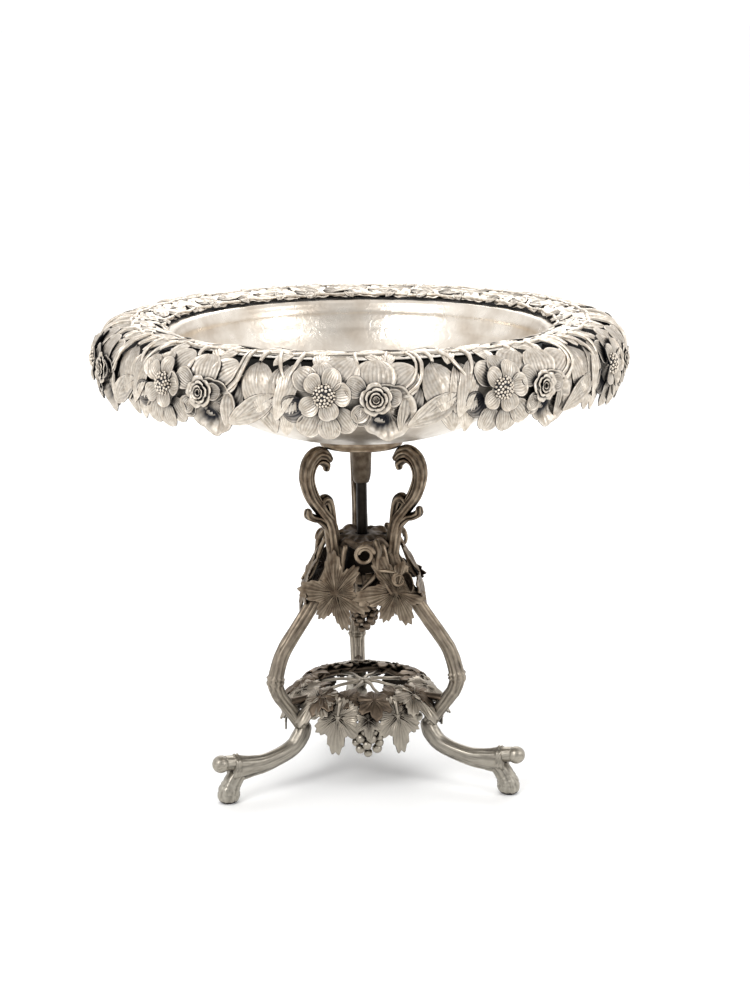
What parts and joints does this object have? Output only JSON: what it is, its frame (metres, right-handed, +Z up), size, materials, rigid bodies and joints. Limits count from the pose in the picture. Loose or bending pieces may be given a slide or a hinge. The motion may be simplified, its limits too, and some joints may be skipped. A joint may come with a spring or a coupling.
{
  "type": "punch bowl",
  "caption": "Footed centrepiece punch bowl: a shallow spun bowl with an openwork flower border on a three-legged vine stand, held by a central tie rod and nut.",
  "frame": {"origin": "on the floor, under the middle of the bowl and the stand", "axes": "+Z up through the tie rod; +Y towards the back leg; +X to the right seen from the front"},
  "size_m": [0.3948, 0.3986, 0.3524],
  "materials": {
    "bowl_silver": "satin",
    "border_silver": "satin",
    "stand_nickel": "satin",
    "dark_nickel": "satin",
    "black_iron": "satin"
  },
  "bodies": {
    "stand": {"seat_ring": "stand_nickel", "leg_scroll_1": "stand_nickel", "leg_bow_1": "stand_nickel", "leg_foot_1": "stand_nickel", "leg_scroll_2": "stand_nickel", "leg_bow_2": "stand_nickel", "leg_foot_2": "stand_nickel", "leg_scroll_3": "stand_nickel", "leg_bow_3": "stand_nickel", "leg_foot_3": "stand_nickel", "waist_collar": "dark_nickel", "waist_leaf_1": "stand_nickel", "waist_leaf_2": "stand_nickel", "waist_tendril_1": "stand_nickel", "waist_grapes_1": "dark_nickel", "waist_leaf_3": "stand_nickel", "waist_leaf_4": "stand_nickel", "waist_tendril_2": "stand_nickel", "waist_grapes_2": "dark_nickel", "waist_leaf_5": "stand_nickel", "waist_leaf_6": "stand_nickel", "waist_tendril_3": "stand_nickel", "waist_grapes_3": "dark_nickel", "wreath_ring": "dark_nickel", "wreath_spider": "stand_nickel", "wreath_leaf_1": "stand_nickel", "wreath_leaf_2": "stand_nickel", "wreath_leaf_3": "stand_nickel", "wreath_leaf_4": "stand_nickel", "wreath_grapes_1": "stand_nickel", "wreath_leaf_5": "stand_nickel", "wreath_leaf_6": "stand_nickel", "wreath_leaf_7": "stand_nickel", "wreath_leaf_8": "stand_nickel", "wreath_grapes_2": "stand_nickel", "wreath_leaf_9": "stand_nickel", "wreath_leaf_10": "stand_nickel", "wreath_leaf_11": "stand_nickel", "wreath_leaf_12": "stand_nickel", "wreath_grapes_3": "stand_nickel"},
    "bowl": {"bowl_shell": "bowl_silver", "border_section_01": "border_silver", "border_section_02": "border_silver", "border_section_03": "border_silver", "border_section_04": "border_silver", "border_section_05": "border_silver", "border_section_06": "border_silver", "border_section_07": "border_silver", "border_section_08": "border_silver", "border_section_09": "border_silver", "border_section_10": "border_silver", "bowl_boss": "stand_nickel", "tie_rod": "black_iron"},
    "washer": {"tie_washer": "stand_nickel"},
    "nut": {"tie_nut": "stand_nickel"}
  },
  "joints": [
    {"name": "bowl_lift", "type": "slide", "parent": "stand", "child": "bowl", "axis": [0, 0, 1], "range_m": [0, 0.16]},
    {"name": "nut_travel", "type": "slide", "parent": "stand", "child": "washer", "axis": [0, 0, -1], "range_m": [0, 0.0125]},
    {"name": "nut_turn", "type": "hinge", "parent": "washer", "child": "nut", "pos_m": [0, 0, 0.153], "axis": [0, 0, 1], "range_deg": [0, 3600]}
  ],
  "couplings": [
    {"joint": "nut_travel", "follows": "nut_turn", "m_per_rad": 0.00019894}
  ]
}
